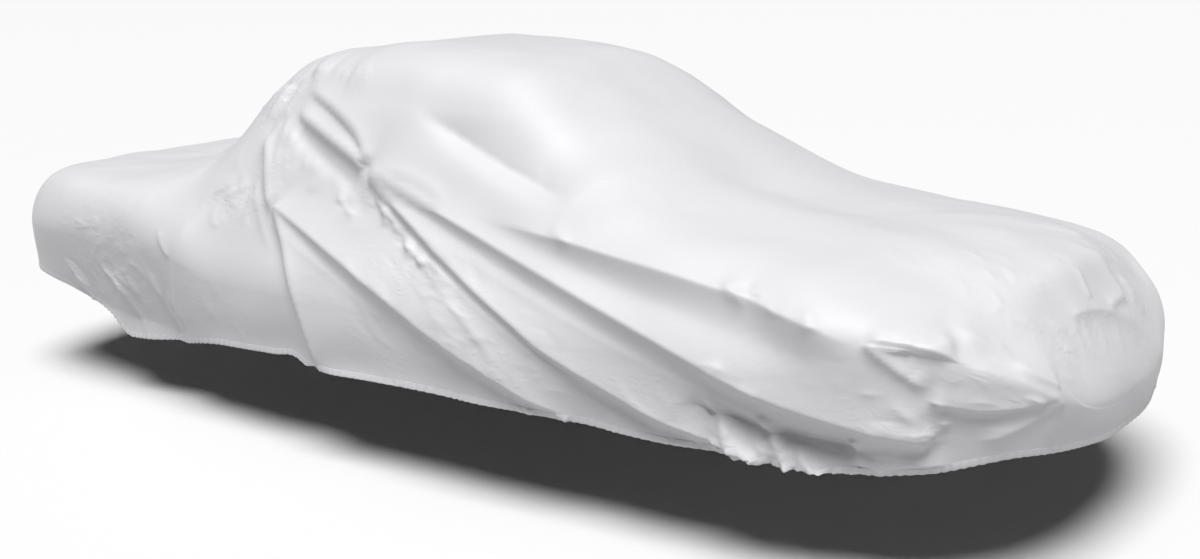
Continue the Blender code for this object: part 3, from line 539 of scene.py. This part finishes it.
def cloth_shape(distance, down, far, cloth):
    """Points, outward directions and smooth-form points of one half of the cover."""
    smooth = smooth_form(distance, down)
    normal = form_outward(distance, down)
    smooth[..., 2] += hem_lift(smooth[..., 0], down[None, :])
    if far:
        smooth, normal = smooth * (1.0, -1.0, 1.0), normal * (1.0, -1.0, 1.0)
    return smooth + relief(smooth, normal, distance, cloth)[..., None] * normal, normal, smooth


def spread(stops, counts):
    """Even steps from each stop to the next, as many as counts says, with the last stop too."""
    parts = [np.linspace(a, b, n, endpoint=False) for a, b, n in zip(stops, stops[1:], counts)]
    return np.concatenate(parts + [stops[-1:]])


def corner_places():
    """Distances round the edge of the middle of the tail, its corner, the nose's and its middle."""
    stops = section_stops()
    return [0.0, stops[TAIL_CORNER], stops[NOSE_CORNER], stops[-1]]


# ---------------------------------------------------------------- meshes

def grid_faces(columns, rows):
    """Four-sided faces over a grid of points numbered column by column."""
    here = np.arange(columns * rows).reshape(columns, rows)[:-1, :-1]
    return np.stack([here, here + 1, here + rows + 1, here + rows], axis=-1).reshape(-1, 4)


def new_object(name, data):
    """Object of a mesh, light or camera, in the scene."""
    made = bpy.data.objects.new(name, data)
    bpy.context.scene.collection.objects.link(made)
    return made


def new_piece(name, points, faces, uv, uv_faces):
    """Mesh object in the frame, from points in the tables' measures, with a UV map in metres."""
    mesh = bpy.data.meshes.new(name)
    mesh.from_pydata((points - REST).tolist(), [], faces)
    layer = mesh.uv_layers.new(name="cloth_metres")
    corners = np.concatenate([np.ravel(face) for face in uv_faces])
    layer.data.foreach_set("uv", uv[corners].astype(np.float32).ravel())
    mesh.shade_smooth()
    mesh.update()
    return new_object(name, mesh)


def girth(points):
    """Length down each profile from the spine."""
    step = np.linalg.norm(np.diff(points, axis=1), axis=-1)
    return np.concatenate([np.zeros((len(points), 1)), np.cumsum(step, axis=1)], axis=1)


def cloth_mesh(name, cloth):
    """The whole sheet: a fine near half, and a far half with every second row and column.

    The halves share their points along the spine, so the far faces there also take in the points
    between the rows and columns that the far half keeps.
    """
    distance = spread(corner_places(), [cloth.columns_tail, cloth.columns_side, cloth.columns_nose])
    down = spread([0.0, PROFILE_STOPS[ROOF], PROFILE_STOPS[BELT], 1.0],
                  [cloth.rows_top, cloth.rows_shoulder, cloth.rows_side])
    down = down * (1.0 - cloth.hem_hidden)
    halves = [cloth_shape(distance, down, far_side, cloth) for far_side in (False, True)]
    crushed = np.concatenate([crushed_share(form, normal, distance).ravel() for _, normal, form in halves])
    near, far = (half[0] for half in halves)
    columns, rows = near.shape[:2]
    for edge in (np.s_[:, 0, 1], np.s_[0, :, 1], np.s_[-1, :, 1]):
        near[edge] = 0.0

    near_index = np.arange(columns * rows).reshape(columns, rows)
    far_index = near_index + columns * rows
    near_faces = [grid_faces(columns, rows)]
    own_faces = far_faces(far_index)
    for edge in (np.s_[0], np.s_[-1], np.s_[:, 0]):
        far_index[edge] = near_index[edge]
    faces = near_faces + far_faces(far_index)

    points = np.concatenate([near.reshape(-1, 3), far.reshape(-1, 3)])
    along = np.repeat(np.concatenate([distance, 2.0 * distance[-1] - distance]), rows)
    uv = np.stack([along, np.concatenate([girth(near), girth(far)]).ravel()], axis=-1)
    used = np.zeros(len(points), dtype=bool)
    used[np.concatenate([block.ravel() for block in faces])] = True
    renumber = np.cumsum(used) - 1
    faces = [face for block in faces for face in renumber[block].tolist()]
    piece = new_piece(name, points[used], faces, uv, near_faces + own_faces)
    layer = piece.data.attributes.new("crushed", "FLOAT", "POINT")
    layer.data.foreach_set("value", crushed[used].astype(np.float32))
    return piece


def far_faces(index):
    """Faces of the far half over every second row and column of its points, in groups by corners.

    Beside the spine, the middle of the tail and the middle of the nose, a face also takes in the
    point between its two corners there.
    """
    kept = index[::2, ::2]
    quads = np.stack([kept[:-1, :-1], kept[1:, :-1], kept[1:, 1:], kept[:-1, 1:]], axis=-1)
    spine, tail, nose = index[1::2, 0], index[0, 1::2, None], index[-1, 1::2, None]
    top = np.concatenate([quads[:, 0, :1], spine[:, None], quads[:, 0, 1:]], axis=-1)
    first = np.concatenate([quads[0, 1:], tail[1:]], axis=-1)
    last = np.concatenate([quads[-1, 1:, :2], nose[1:], quads[-1, 1:, 2:]], axis=-1)
    tail_corner = np.concatenate([top[:1], tail[:1]], axis=-1)
    nose_corner = np.concatenate([top[-1:, :3], nose[:1], top[-1:, 3:]], axis=-1)
    return [quads[1:-1, 1:].reshape(-1, 4), top[1:-1], first, last, tail_corner, nose_corner]


def hem_mesh(name, cloth):
    """Turned hem band: a flat closed loop carried round the whole edge of the cloth.

    Round the loop the band leaves the stitch line, comes down outside the cloth, turns under its edge
    and goes back up inside.  The gathers push it in and out along the hem as a sum of two ripples
    whose spacing drifts, strongest in the middle of the band and still at the stitch line.
    """
    reach = corner_places()[-1]
    count = int(round(2.0 * reach / cloth.gather_step))
    travel = np.arange(count) * (2.0 * reach / count)
    near = travel <= reach
    turn = np.linspace(0.0, 2.0 * np.pi, cloth.hem_sides, endpoint=False)
    height = 0.5 + 0.5 * np.cos(turn)
    near_rows, near_normal = hem_rows(travel[near], height, False, cloth)
    far_rows, far_normal = hem_rows(2.0 * reach - travel[~near], height, True, cloth)
    base = np.concatenate([near_rows, far_rows])
    normal = np.concatenate([near_normal, far_normal])

    thick = cloth.hem_thick * (HEM_RIM + (1.0 - HEM_RIM) * (1.0 - height ** 2))
    ripple = gathers(travel, reach, cloth)
    sway = np.sin(HEM_SWAY * np.pi * (1.0 - height))
    offset = np.sin(turn) * thick + ripple[:, None] * sway * cloth.gather_depth + cloth.hem_proud
    points = base + normal * offset[..., None]
    points[..., 2] += (np.roll(ripple, cloth.gather_lag)[:, None] * (1.0 - height)
                       * cloth.gather_depth * cloth.gather_lift)
    columns, sides = points.shape[:2]
    here = np.arange(columns * sides).reshape(columns, sides)
    beside, beyond = np.roll(here, -1, axis=1), np.roll(here, -1, axis=0)
    faces = np.stack([here, beside, np.roll(beyond, -1, axis=1), beyond], axis=-1).reshape(-1, 4)
    i, j = np.meshgrid(np.arange(columns + 1), np.arange(sides + 1), indexing="ij")
    uv = np.stack([i * cloth.gather_step, j * (2.0 * cloth.hem_band / sides)], axis=-1).reshape(-1, 2)
    uv_faces = [grid_faces(columns + 1, sides + 1)]
    return new_piece(name, points.reshape(-1, 3), faces.tolist(), uv, uv_faces)


def hem_rows(distance, height, far, cloth):
    """Points and outward directions of the cloth at shares of the hem band's height above its edge."""
    down = np.linspace(HEM_SEARCH, 1.0, HEM_SEARCH_ROWS)
    points, normal, _ = cloth_shape(distance, down, far, cloth)
    below = girth(points)
    below = below[:, -1:] - below
    wanted = height[None, :] * cloth.hem_band
    k = np.clip((below[:, :, None] > wanted[:, None, :]).sum(axis=1) - 1, 0, len(down) - 2)
    column = np.arange(len(distance))[:, None]
    over, under = below[column, k], below[column, k + 1]
    share = np.clip((over - wanted) / np.maximum(over - under, 1e-9), 0.0, 1.0)[..., None]
    return tuple(rows[column, k] * (1.0 - share) + rows[column, k + 1] * share
                 for rows in (points, normal))


def gathers(travel, reach, cloth):
    """Ripples of the drawn-in hem, between -1 and 1, with a drifting pitch and uneven strength."""
    turn = travel / reach * np.pi
    drift = sum(size * np.sin(waves * turn + start) for size, waves, start in GATHER_DRIFT)
    waves = np.round(2.0 * reach / cloth.gather_pitch)
    main = np.sin(waves * turn + drift)
    fine = np.sin(np.round(waves * FINE_GATHERS) * turn - 1.4 * drift + 0.7)
    strength = 1.0 - GATHER_UNEVEN + GATHER_UNEVEN * np.sin(13.0 * turn + 0.4) * np.sin(5.0 * turn + 2.0)
    for place, wide, more in HEM_PULLS:
        strength = strength * (1.0 + more * np.exp(-((travel - place) / wide) ** 2))
    return (0.7 * main + 0.3 * fine) * strength


# ---------------------------------------------------------------- materials

CRUSH_HEIGHT, CRUMPLE_HEIGHT = 0.0020, 0.0040   # relief of the crush marks and of the crumpled patches
GRAIN_HEIGHT, WEAVE_HEIGHT = 0.00018, 0.00002   # relief of the coating's grain and of the threads
CRUSH_FROM, CRUSH_EDGE = 0.42, 4.0      # the crush marks begin at this value, and how fast they grow
CRUSH_STRETCH = (1.0, 1.0, 1.9)         # crush marks are this much finer up and down
MOTTLE_CONTRAST, GLOSS_CONTRAST = 0.5, 0.16     # of the two tones of the coating, and of its roughness


class Wire:
    """One socket of a material's node tree, so that shader maths reads as ordinary expressions."""

    def __init__(self, sheet, socket):
        self.sheet = sheet
        self.socket = socket

    def maths(self, operation, *others):
        return self.sheet.node("ShaderNodeMath", {"operation": operation}, [self, *others])

    def __add__(self, other):
        return self.maths("ADD", other)

    def __radd__(self, other):
        return self.maths("ADD", other)

    def __sub__(self, other):
        return self.maths("SUBTRACT", other)

    def __rsub__(self, other):
        return self.sheet.node("ShaderNodeMath", {"operation": "SUBTRACT"}, [other, self])

    def __mul__(self, other):
        return self.maths("MULTIPLY", other)

    def __rmul__(self, other):
        return self.maths("MULTIPLY", other)

    def clamped(self):
        return self.sheet.node("ShaderNodeMath", {"operation": "ADD", "use_clamp": True}, [self, 0.0])


class Finish:
    """A material under construction: its shader, and one method that adds any other node."""

    def __init__(self, name):
        self.material = bpy.data.materials.new(name)
        self.material.use_nodes = True
        self.tree = self.material.node_tree
        self.shader = self.tree.nodes["Principled BSDF"]

    def node(self, kind, settings=None, inputs=(), output=0):
        """Adds a node, gives it its settings and inputs (a list, or a dict by name), returns a Wire."""
        made = self.tree.nodes.new(kind)
        for key, value in (settings or {}).items():
            setattr(made, key, value)
        pairs = inputs.items() if isinstance(inputs, dict) else enumerate(inputs)
        for key, value in pairs:
            self.feed(made.inputs[key], value)
        return Wire(self, made.outputs[output])

    def feed(self, socket, value):
        """Links a Wire to a socket, or sets the socket to a plain value."""
        if isinstance(value, Wire):
            self.tree.links.new(value.socket, socket)
        else:
            socket.default_value = value

    def surface(self, **inputs):
        """Sets or links the shader's own sockets, named with underscores for spaces."""
        for key, value in inputs.items():
            self.feed(self.shader.inputs[key.replace("_", " ")], value)

    def mix_colour(self, factor, first, second):
        """Colour between two colours; a factor of 0 gives the first."""
        return self.node("ShaderNodeMix", {"data_type": "RGBA"},
                         {0: factor, 6: first, 7: second}, output=2)


def silver_cloth(cloth):
    """Thin silver-coated cloth: a soft sheen, fine crush marks, faint mottling and a plain weave."""
    finish = Finish("silver_cloth")
    places = finish.node("ShaderNodeTexCoord", output="Object")
    slanted = finish.node("ShaderNodeMapping", {}, {"Vector": places, "Scale": CRUSH_STRETCH})
    ridged = {"noise_type": "RIDGED_MULTIFRACTAL"}
    mottle = finish.node("ShaderNodeTexNoise", {}, {"Vector": places, "Scale": 3.2, "Detail": 4.0})
    where = finish.node("ShaderNodeTexNoise", {}, {"Vector": places, "Scale": 2.1, "Detail": 1.0})
    fine = finish.node("ShaderNodeTexNoise", {}, {"Vector": places, "Scale": 70.0, "Detail": 2.0})
    crush = finish.node("ShaderNodeTexNoise", ridged, {
        "Vector": slanted, "Scale": 13.0, "Detail": 3.0, "Roughness": 0.55, "Lacunarity": 2.1})
    crumple = finish.node("ShaderNodeTexNoise", ridged, {
        "Vector": slanted, "Scale": 30.0, "Detail": 3.0, "Roughness": 0.6, "Distortion": 0.5})
    crushed = finish.node("ShaderNodeAttribute", {"attribute_name": "crushed"}, output="Fac")
    threads = finish.node("ShaderNodeUVMap", {"uv_map": "cloth_metres"})
    across, along = (finish.node("ShaderNodeTexWave", {"bands_direction": way},
                                 {"Vector": threads, "Scale": cloth.weave_per_m, "Distortion": 0.0})
                     for way in "XY")

    tone = (mottle - 0.5) * MOTTLE_CONTRAST + 0.5
    colour = finish.mix_colour(tone.clamped(), (*cloth.colour_deep, 1.0), (*cloth.colour_lit, 1.0))
    crush_marks = crush * ((where - CRUSH_FROM) * CRUSH_EDGE).clamped() * CRUSH_HEIGHT
    marks = (crush_marks + crumple * crushed * CRUMPLE_HEIGHT + fine * GRAIN_HEIGHT
             + (across + along) * WEAVE_HEIGHT)
    bump = finish.node("ShaderNodeBump", {}, {"Strength": cloth.crush, "Distance": 1.0, "Height": marks})
    finish.surface(Base_Color=colour, Roughness=(mottle - 0.5) * GLOSS_CONTRAST + cloth.roughness,
                   Metallic=cloth.metallic, Normal=bump, Sheen_Weight=cloth.sheen,
                   Sheen_Roughness=0.5, Specular_IOR_Level=0.5)
    return finish.material


def floor_finish(stage):
    """Matt pale studio floor."""
    finish = Finish("studio_floor")
    finish.surface(Base_Color=(*stage.floor_colour, 1.0), Roughness=0.9, Specular_IOR_Level=0.1)
    return finish.material


# ---------------------------------------------------------------- settings a user would change

def number(name, description, default, low):
    """A whole number."""
    return bpy.props.IntProperty(name=name, description=description, default=default, min=low)


def metres(name, description, default, low, high):
    """A length."""
    return bpy.props.FloatProperty(name=name, description=description, default=default,
                                   min=low, max=high, unit="LENGTH", precision=4)


def factor(name, description, default, high=1.0):
    """A share or strength."""
    return bpy.props.FloatProperty(name=name, description=description, default=default,
                                   min=0.0, max=high, subtype="FACTOR", precision=4)


def tint(name, description, default):
    """A colour."""
    return bpy.props.FloatVectorProperty(name=name, description=description, default=default,
                                         size=3, min=0.0, max=1.0, subtype="COLOR")


class CoverClothSettings(bpy.types.PropertyGroup):
    columns_tail: number("Columns round the tail", "From the tail's middle to its corner", 44, 8)
    columns_side: number("Columns along the side", "From the tail corner to the nose corner", 330, 40)
    columns_nose: number("Columns round the nose", "From the nose corner to its middle", 62, 8)
    rows_top: number("Rows over the top", "From the spine to where the top turns over", 14, 4)
    rows_shoulder: number("Rows over the shoulder", "From there to the shoulder", 28, 4)
    rows_side: number("Rows down the side", "From the shoulder to the hem", 140, 10)
    fold_depth: factor("Fold depth", "Share of the draped folds' full depth", 1.0, 1.5)
    crease_depth: factor("Crease depth", "Share of the small creases' full depth", 1.0, 2.0)
    dent_depth: metres("Dent depth", "Depth of the soft dents between folds", 0.0022, 0.0, 0.02)
    hem_band: metres("Hem band", "Height of the turned hem", 0.020, 0.01, 0.08)
    hem_hidden: factor("Cloth under the hem", "Share of a profile that ends inside the hem band",
                       0.008, 0.03)
    hem_thick: metres("Hem thickness", "Half the thickness of the turned hem with its elastic",
                      0.0014, 0.0005, 0.01)
    hem_proud: metres("Hem stands off", "How far the band's middle lies outside the cloth",
                      0.0002, 0.0, 0.01)
    hem_sides: number("Hem loop points", "Points round the section of the hem band", 14, 6)
    gather_step: metres("Gather step", "Distance between the hem's mesh columns", 0.0045, 0.002, 0.02)
    gather_pitch: metres("Gather pitch", "Distance from one gather to the next", 0.030, 0.01, 0.1)
    gather_depth: metres("Gather depth", "How far the gathers swing in and out", 0.0020, 0.0, 0.02)
    gather_lift: factor("Gather lift", "Share of the gathers that also moves the hem up and down",
                        0.6, 2.0)
    gather_lag: number("Gather lag", "Mesh columns by which the ups and downs follow the gathers", 2, 0)
    colour_lit: tint("Cloth colour", "Lighter tone of the silver coating", (0.455, 0.455, 0.466))
    colour_deep: tint("Cloth mottling", "Darker tone of the silver coating", (0.43, 0.43, 0.445))
    roughness: factor("Roughness", "Roughness of the coating", 0.55)
    metallic: factor("Silvering", "How metallic the coating looks", 0.0)
    sheen: factor("Sheen", "Soft light at grazing angles", 0.05)
    crush: factor("Crush marks", "Strength of the fine relief of the cloth", 0.8)
    weave_per_m: bpy.props.FloatProperty(
        name="Weave", description="Threads across a metre of the plain weave",
        default=600.0, min=50.0, max=4000.0)


class CoverStageSettings(bpy.types.PropertyGroup):
    floor_colour: tint("Floor colour", "Pale studio floor", (0.52, 0.52, 0.52))
    floor_reach: metres("Floor reach", "Half the width of the studio floor", 150.0, 5.0, 1000.0)
    key_strength: bpy.props.FloatProperty(
        name="Key light", description="Strength of the broad soft light from above, in W per square metre",
        default=5.8, min=0.0)
    key_spread: bpy.props.FloatProperty(
        name="Key light spread", description="Angle that the broad soft light fills",
        default=0.65, min=0.0, max=3.1, subtype="ANGLE", unit="ROTATION")
    key_way: bpy.props.FloatVectorProperty(
        name="Key light direction", description="Way from the cover to the large soft light",
        default=(0.14, -0.27, 0.955), size=3, subtype="DIRECTION")
    sky: bpy.props.FloatProperty(
        name="Surround", description="Brightness of the white surround",
        default=0.12, min=0.0)
    lens: bpy.props.FloatProperty(
        name="Lens", description="Focal length on a 36 mm wide sensor",
        default=42.06, min=10.0, max=200.0, unit="CAMERA")
    camera_place: bpy.props.FloatVectorProperty(
        name="Camera place", description="Where the camera stands, from the frame's origin",
        default=(3.432, -3.801, 0.287), size=3, subtype="TRANSLATION", unit="LENGTH")
    camera_turn: bpy.props.FloatVectorProperty(
        name="Camera turn", description="Azimuth, elevation and roll of the view, in degrees",
        default=(37.0, 13.08, -1.61), size=3)


# ---------------------------------------------------------------- operators

KEY_AWAY = 8.0          # where the key light's marker hangs; its distance has no effect
SENSOR_WIDTH = 36.0     # of the camera, in millimetres


def dress(piece, material):
    """Gives a piece its material and its place in the frame."""
    piece.data.materials.append(material)
    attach(piece, "root")


class COVER_OT_hem(bpy.types.Operator):
    """Make the turned, gathered hem band"""
    bl_idname = "car_cover.hem"
    bl_label = "Hem band"

    def execute(self, context):
        cloth = context.scene.cover_cloth
        band = hem_mesh("cover_hem", cloth)
        dress(band, silver_cloth(cloth))
        return {"FINISHED"}


class COVER_OT_cloth(bpy.types.Operator):
    """Make the draped sheet, after its hem"""
    bl_idname = "car_cover.cloth"
    bl_label = "Draped cloth"

    def execute(self, context):
        cloth = context.scene.cover_cloth
        band = bpy.data.objects.get("cover_hem")
        if band is None:
            raise RuntimeError("make the hem band before the cloth")
        sheet = cloth_mesh("cover_cloth", cloth)
        dress(sheet, silver_cloth(cloth))
        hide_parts("cover")
        return {"FINISHED"}


class COVER_OT_stage(bpy.types.Operator):
    """Make the pale floor, the soft lights and the camera"""
    bl_idname = "car_cover.stage"
    bl_label = "Studio"

    def execute(self, context):
        stage = context.scene.cover_stage
        ground = -REST[2]
        mesh = bpy.data.meshes.new("studio_floor")
        half = stage.floor_reach
        mesh.from_pydata([(-half, -half, ground), (half, -half, ground), (half, half, ground),
                          (-half, half, ground)], [], [(0, 1, 2, 3)])
        mesh.materials.append(floor_finish(stage))
        floor = new_object("studio_floor", mesh)

        world = bpy.data.worlds.new("white_surround")
        world.use_nodes = True
        surround = world.node_tree.nodes["Background"].inputs
        surround["Color"].default_value = (1.0, 1.0, 1.0, 1.0)
        surround["Strength"].default_value = stage.sky
        context.scene.world = world
        context.scene.view_settings.view_transform = "Standard"

        lamp = bpy.data.lights.new("key_light", "SUN")
        lamp.energy, lamp.angle = stage.key_strength, stage.key_spread
        key = new_object("key_light", lamp)
        key.location = Vector(stage.key_way) * KEY_AWAY
        key.rotation_euler = (-Vector(stage.key_way)).to_track_quat("-Z", "Y").to_euler()

        lens = bpy.data.cameras.new("photo_view")
        lens.lens, lens.sensor_width = stage.lens, SENSOR_WIDTH
        camera = new_object("photo_view", lens)
        azimuth, elevation, roll = np.radians(stage.camera_turn)
        back = Vector((np.sin(azimuth) * np.cos(elevation), -np.cos(azimuth) * np.cos(elevation),
                       np.sin(elevation)))
        right = Vector((np.cos(azimuth), np.sin(azimuth), 0.0))
        up = back.cross(right)
        right, up = (np.cos(roll) * right + np.sin(roll) * up, -np.sin(roll) * right + np.cos(roll) * up)
        turn = Matrix((right, up, back)).transposed().to_4x4()
        camera.matrix_world = Matrix.Translation(stage.camera_place) @ turn
        context.scene.camera = camera
        return {"FINISHED"}


class COVER_PT_panel(bpy.types.Panel):
    """Settings and steps of the draped cover"""
    bl_idname = "COVER_PT_panel"
    bl_label = "Car Cover"
    bl_space_type = "VIEW_3D"
    bl_region_type = "UI"
    bl_category = "Car Cover"

    def draw(self, context):
        for settings in (context.scene.cover_cloth, context.scene.cover_stage):
            box = self.layout.box()
            for name in settings.__annotations__:
                box.prop(settings, name)
        for step in STEPS:
            self.layout.operator(step.bl_idname)


STEPS = (COVER_OT_hem, COVER_OT_cloth, COVER_OT_stage)
CLASSES = (CoverClothSettings, CoverStageSettings, *STEPS, COVER_PT_panel)


def register():
    for cls in CLASSES:
        bpy.utils.register_class(cls)
    bpy.types.Scene.cover_cloth = bpy.props.PointerProperty(type=CoverClothSettings)
    bpy.types.Scene.cover_stage = bpy.props.PointerProperty(type=CoverStageSettings)


def unregister():
    del bpy.types.Scene.cover_stage
    del bpy.types.Scene.cover_cloth
    for cls in reversed(CLASSES):
        bpy.utils.unregister_class(cls)


def main():
    register()
    bpy.ops.car_cover.hem()
    bpy.ops.car_cover.cloth()
    bpy.ops.car_cover.stage()
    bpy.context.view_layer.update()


if __name__ == "__main__":
    main()
